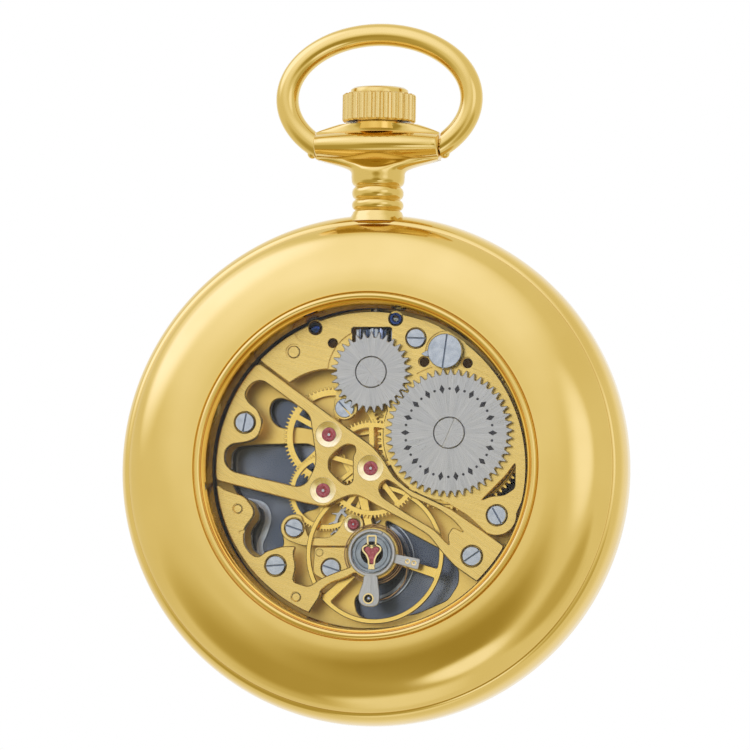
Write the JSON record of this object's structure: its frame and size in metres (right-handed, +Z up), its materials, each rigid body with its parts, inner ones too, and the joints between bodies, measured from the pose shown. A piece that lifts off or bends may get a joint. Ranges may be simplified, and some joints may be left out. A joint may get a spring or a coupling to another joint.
{
  "type": "pocket watch",
  "caption": "Open-face pocket watch with an exhibition back, skeleton hand-wound movement, winding crown and a swivelling bow to hang it by.",
  "frame": {"origin": "point inside the top of the bow where a chain hook hangs", "axes": "+Z up through crown and twelve o'clock, +Y out of the dial, -Y out of the exhibition back, +X right as seen from the back"},
  "size_m": [0.05, 0.0124, 0.0688],
  "materials": {
    "polished_gold": "mirror polished gold plate",
    "gilt_plate": "fine brushed gilding",
    "gilt_wheel": "gilt, circular grain",
    "brushed_steel": "radial sunray brushing",
    "polished_steel": "polished steel",
    "hidden_steel": "satin",
    "blued_steel": "heat blued, polished",
    "ruby": "polished synthetic ruby",
    "crystal": "clear mineral glass",
    "dial_enamel": "satin enamel with printed numerals"
  },
  "bodies": {
    "case": {"case_band": "polished_gold", "back_cover": "polished_gold", "back_window_glass": "crystal", "front_bezel": "polished_gold", "front_crystal": "crystal", "movement_ring": "gilt_plate", "pendant": "polished_gold", "mainplate": "gilt_plate", "barrel_bridge": "gilt_plate", "train_bridge": "gilt_plate", "balance_cock": "gilt_plate", "escape_bridge": "gilt_plate", "pallet_bridge": "gilt_plate", "crown_wheel_screw": "brushed_steel", "click_screw": "polished_steel", "click_spring": "polished_steel", "shock_spring": "gilt_wheel", "center_jewel": "ruby", "third_jewel": "ruby", "fourth_jewel": "ruby", "escape_jewel": "ruby", "dial": "dial_enamel", "train_bridge_screw_left": "polished_steel", "train_bridge_screw_right": "polished_steel", "barrel_bridge_screw_top": "polished_steel", "barrel_bridge_screw_right": "polished_steel", "balance_cock_screw": "polished_steel", "escape_bridge_screw": "polished_steel", "pallet_bridge_screw": "polished_steel", "setting_lever_screw": "blued_steel", "case_screw": "blued_steel"},
    "bow_loop": {"bow": "polished_gold"},
    "winding": {"winding_pinion": "hidden_steel"},
    "stem": {"winding_stem": "hidden_steel", "crown": "polished_gold"},
    "clutch": {"clutch_wheel": "hidden_steel"},
    "lever": {"setting_lever": "hidden_steel"},
    "yoke_arm": {"yoke": "hidden_steel"},
    "crown_gear": {"crown_wheel": "brushed_steel"},
    "ratchet": {"ratchet_wheel": "brushed_steel", "ratchet_screw": "brushed_steel", "barrel_arbor": "hidden_steel"},
    "click_pawl": {"click": "polished_steel"},
    "minute_group": {"cannon_pinion": "hidden_steel", "minute_hand": "blued_steel"},
    "minute_gear": {"minute_wheel": "gilt_wheel"},
    "hour_group": {"hour_wheel": "gilt_wheel", "hour_hand": "blued_steel"},
    "setting_gear": {"setting_wheel": "hidden_steel"},
    "fourth": {"fourth_wheel": "gilt_wheel"},
    "third": {"third_wheel": "gilt_wheel"},
    "center": {"center_wheel": "gilt_wheel"},
    "barrel": {"mainspring_barrel": "gilt_wheel", "mainspring": "hidden_steel"},
    "escape": {"escape_wheel": "hidden_steel"},
    "pallet": {"pallet_fork": "hidden_steel"},
    "balance": {"balance_wheel": "gilt_wheel"},
    "index": {"regulator": "brushed_steel"},
    "stud": {"stud_carrier": "brushed_steel", "hairspring": "hidden_steel"}
  },
  "joints": [
    {"name": "bow_swivel", "type": "hinge", "parent": "case", "child": "bow_loop", "pos_m": [0, 0, -0.0097], "axis": [1, 0, 0], "range_deg": [-90, 90]},
    {"name": "crown_turn", "type": "hinge", "parent": "case", "child": "winding", "pos_m": [0, 0, 0], "axis": [0, 0, 1], "continuous": true},
    {"name": "crown_pull", "type": "slide", "parent": "winding", "child": "stem", "axis": [0, 0, 1], "range_m": [0, 0.0006]},
    {"name": "clutch_shift", "type": "slide", "parent": "winding", "child": "clutch", "axis": [0, 0, 1], "range_m": [-0.0006, 0]},
    {"name": "setting_lever_turn", "type": "hinge", "parent": "case", "child": "lever", "pos_m": [0.00228, 0, -0.0271], "axis": [0, -1, 0], "range_deg": [-26, 0]},
    {"name": "yoke_turn", "type": "hinge", "parent": "case", "child": "yoke_arm", "pos_m": [-0.0034, 0, -0.0316], "axis": [0, -1, 0], "range_deg": [-15.5, 0]},
    {"name": "crown_wheel_turn", "type": "hinge", "parent": "case", "child": "crown_gear", "pos_m": [0, 0, -0.03236], "axis": [0, -1, 0], "continuous": true},
    {"name": "ratchet_turn", "type": "hinge", "parent": "case", "child": "ratchet", "pos_m": [0.00778, 0, -0.03827], "axis": [0, -1, 0], "continuous": true},
    {"name": "click_pivot", "type": "hinge", "parent": "case", "child": "click_pawl", "pos_m": [0.00729, 0, -0.03032], "axis": [0, -1, 0], "range_deg": [-4, 10], "stiffness_Nm_per_rad": 0.000002},
    {"name": "hands_set", "type": "hinge", "parent": "case", "child": "minute_group", "pos_m": [0, 0, -0.0417], "axis": [0, -1, 0], "continuous": true},
    {"name": "minute_wheel_turn", "type": "hinge", "parent": "case", "child": "minute_gear", "pos_m": [0.00063, 0, -0.03815], "axis": [0, -1, 0], "continuous": true},
    {"name": "hour_turn", "type": "hinge", "parent": "case", "child": "hour_group", "pos_m": [0, 0, -0.0417], "axis": [0, -1, 0], "continuous": true},
    {"name": "setting_wheel_turn", "type": "hinge", "parent": "case", "child": "setting_gear", "pos_m": [0.0003, 0, -0.03442], "axis": [0, -1, 0], "continuous": true},
    {"name": "train_run", "type": "hinge", "parent": "case", "child": "fourth", "pos_m": [-0.00466, 0, -0.04389], "axis": [0, -1, 0], "continuous": true},
    {"name": "third_turn", "type": "hinge", "parent": "case", "child": "third", "pos_m": [-0.00417, 0, -0.03843], "axis": [0, -1, 0], "continuous": true},
    {"name": "center_turn", "type": "hinge", "parent": "case", "child": "center", "pos_m": [0, 0, -0.0417], "axis": [0, -1, 0], "continuous": true},
    {"name": "barrel_turn", "type": "hinge", "parent": "case", "child": "barrel", "pos_m": [0.00778, 0, -0.03827], "axis": [0, -1, 0], "continuous": true},
    {"name": "escape_turn", "type": "hinge", "parent": "case", "child": "escape", "pos_m": [-0.00194, 0, -0.04706], "axis": [0, -1, 0], "continuous": true},
    {"name": "pallet_rock", "type": "hinge", "parent": "case", "child": "pallet", "pos_m": [-0.0033, 0, -0.04975], "axis": [0, -1, 0], "range_deg": [-4, 4]},
    {"name": "balance_swing", "type": "hinge", "parent": "case", "child": "balance", "pos_m": [0.00035, 0, -0.04999], "axis": [0, -1, 0], "range_deg": [-270, 270], "stiffness_Nm_per_rad": 0.0000005},
    {"name": "regulator_turn", "type": "hinge", "parent": "case", "child": "index", "pos_m": [0.00035, 0, -0.04999], "axis": [0, -1, 0], "range_deg": [-12, 12]},
    {"name": "stud_turn", "type": "hinge", "parent": "case", "child": "stud", "pos_m": [0.00035, 0, -0.04999], "axis": [0, -1, 0], "range_deg": [-12, 12]}
  ],
  "couplings": [
    {"joint": "clutch_shift", "follows": "crown_pull", "ratio": -1},
    {"joint": "setting_lever_turn", "follows": "crown_pull", "rad_per_m": -750},
    {"joint": "yoke_turn", "follows": "crown_pull", "rad_per_m": -444.4},
    {"joint": "crown_wheel_turn", "follows": "crown_turn", "ratio": -0.48387},
    {"joint": "ratchet_turn", "follows": "crown_turn", "ratio": 0.3},
    {"joint": "minute_wheel_turn", "follows": "hands_set", "ratio": -0.33333},
    {"joint": "hour_turn", "follows": "hands_set", "ratio": 0.083333},
    {"joint": "setting_wheel_turn", "follows": "hands_set", "ratio": 0.85714},
    {"joint": "third_turn", "follows": "train_run", "ratio": -0.13333},
    {"joint": "center_turn", "follows": "train_run", "ratio": 0.016667},
    {"joint": "barrel_turn", "follows": "train_run", "ratio": -0.0025641},
    {"joint": "escape_turn", "follows": "train_run", "ratio": -10}
  ]
}
